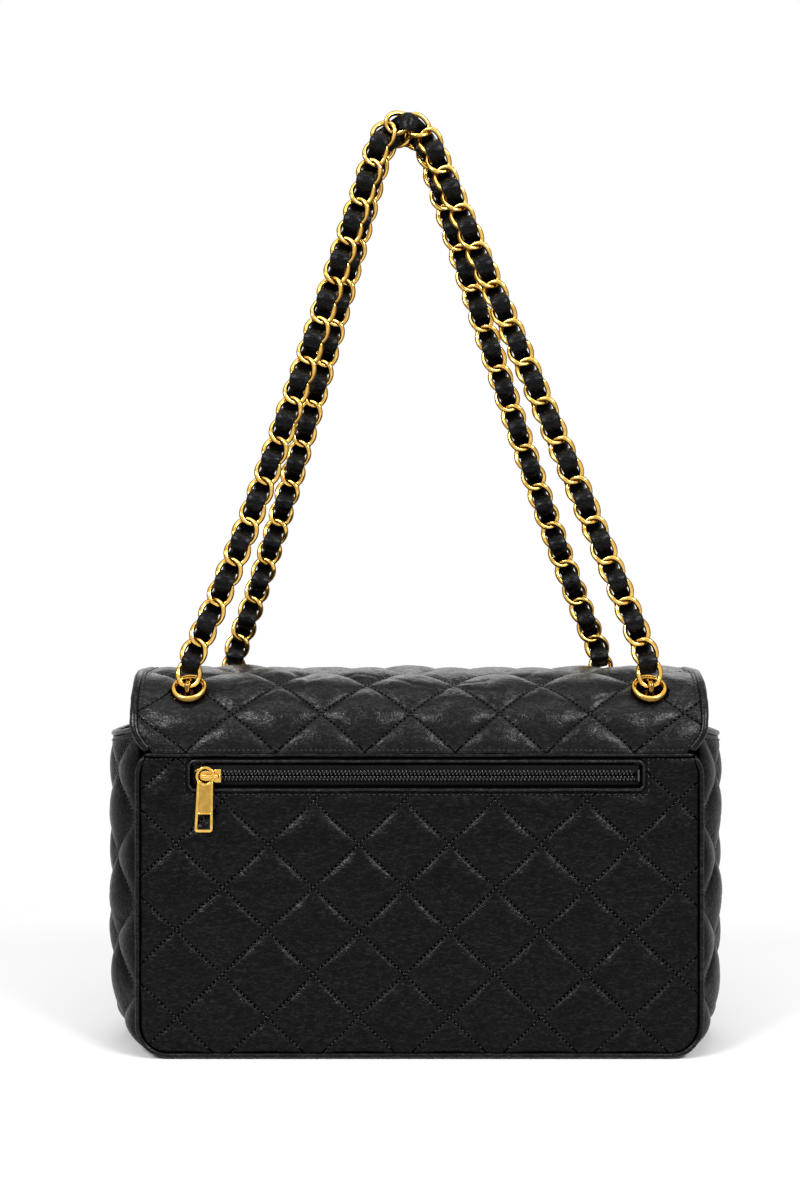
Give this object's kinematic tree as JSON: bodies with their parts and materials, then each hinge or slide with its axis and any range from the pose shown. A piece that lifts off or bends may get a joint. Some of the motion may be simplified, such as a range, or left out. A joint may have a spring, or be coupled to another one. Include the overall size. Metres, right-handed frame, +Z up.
{
  "type": "shoulder bag",
  "caption": "Quilted leather shoulder bag with a lifting flap, turn lock, back zip pocket, eyelets and a doubled curb-chain strap woven with leather.",
  "frame": {"origin": "centre of the base's underside, where the bag stands", "axes": "+Z up, +X towards the right as seen from the back with the zip pocket, +Y towards the front with the turn lock"},
  "size_m": [0.3234, 0.1157, 0.4896],
  "materials": {
    "black_leather": "soft satin, fine grain",
    "strap_leather": "soft satin strip",
    "lining_cloth": "plain woven lining",
    "zip_tape": "woven nylon tape",
    "zip_coil": "nylon coil",
    "base_board": "bag maker's stiffening board",
    "gold_metal": "polished gold plate"
  },
  "bodies": {
    "bag": {"back_panel": "black_leather", "front_panel": "black_leather", "back_piping": "black_leather", "front_piping": "black_leather", "seam_piping": "black_leather", "front_rim_binding": "black_leather", "base_panel": "black_leather", "gusset_left": "black_leather", "gusset_right": "black_leather", "rim_binding_left": "black_leather", "rim_binding_right": "black_leather", "zip_frame": "black_leather", "base_board": "base_board", "lining_back": "lining_cloth", "lining_front": "lining_cloth", "inner_slip_pocket": "lining_cloth", "lining_base": "lining_cloth", "lining_left": "lining_cloth", "lining_right": "lining_cloth", "zip_pouch_front": "lining_cloth", "zip_pouch_back": "lining_cloth", "zip_tape_lower": "zip_tape", "zip_tape_upper": "zip_tape", "zip_coil_lower": "zip_coil", "zip_coil_upper": "zip_coil", "zip_stop_left": "gold_metal", "zip_stop_right": "gold_metal", "lock_base_plate": "gold_metal", "lock_washer": "gold_metal"},
    "flap_crown": {"flap_crown": "black_leather", "crown_binding_left": "black_leather", "crown_binding_right": "black_leather", "crown_lining": "lining_cloth", "rear_eyelet_left": "gold_metal", "rear_eyelet_right": "gold_metal", "front_eyelet_left": "gold_metal", "front_eyelet_right": "gold_metal", "rear_washer_left": "gold_metal", "rear_washer_right": "gold_metal", "front_washer_left": "gold_metal", "front_washer_right": "gold_metal", "inner_chain_left": "gold_metal", "inner_chain_right": "gold_metal"},
    "flap_front": {"flap_front": "black_leather", "flap_front_binding": "black_leather", "flap_front_lining": "lining_cloth", "lock_escutcheon": "gold_metal"},
    "rear_strap": {"rear_chain_left": "gold_metal", "rear_chain_right": "gold_metal", "rear_ribbon_left": "strap_leather", "rear_ribbon_right": "strap_leather"},
    "front_strap": {"front_chain_left": "gold_metal", "front_chain_right": "gold_metal", "front_ribbon_left": "strap_leather", "front_ribbon_right": "strap_leather"},
    "zip_slider": {"zip_slider": "gold_metal"},
    "zip_pull": {"zip_pull": "gold_metal"},
    "lock_button": {"lock_turn_button": "gold_metal"}
  },
  "joints": [
    {"name": "flap_lift", "type": "hinge", "parent": "bag", "child": "flap_crown", "pos_m": [0, -0.05, 0.152], "axis": [1, 0, 0], "range_deg": [0, 75]},
    {"name": "flap_unfold", "type": "hinge", "parent": "flap_crown", "child": "flap_front", "pos_m": [0, 0.0557, 0.1545], "axis": [1, 0, 0], "range_deg": [0, 67.5]},
    {"name": "rear_strap", "type": "hinge", "parent": "flap_crown", "child": "rear_strap", "pos_m": [0, -0.0379, 0.18544], "axis": [1, 0, 0], "range_deg": [0, 55]},
    {"name": "front_strap", "type": "hinge", "parent": "flap_crown", "child": "front_strap", "pos_m": [0, 0.0433, 0.18544], "axis": [-1, 0, 0], "range_deg": [0, 90]},
    {"name": "zip_slide", "type": "slide", "parent": "bag", "child": "zip_slider", "axis": [1, 0, 0], "range_m": [0, 0.2]},
    {"name": "zip_pull", "type": "hinge", "parent": "zip_slider", "child": "zip_pull", "pos_m": [-0.1025, -0.0529, 0.14175], "axis": [0, 0, 1], "range_deg": [0, 110]},
    {"name": "lock_turn", "type": "hinge", "parent": "bag", "child": "lock_button", "pos_m": [0, 0.0568, 0.062], "axis": [0, 1, 0], "range_deg": [0, 90]}
  ],
  "couplings": [
    {"joint": "flap_unfold", "follows": "flap_lift", "ratio": 0.9}
  ]
}
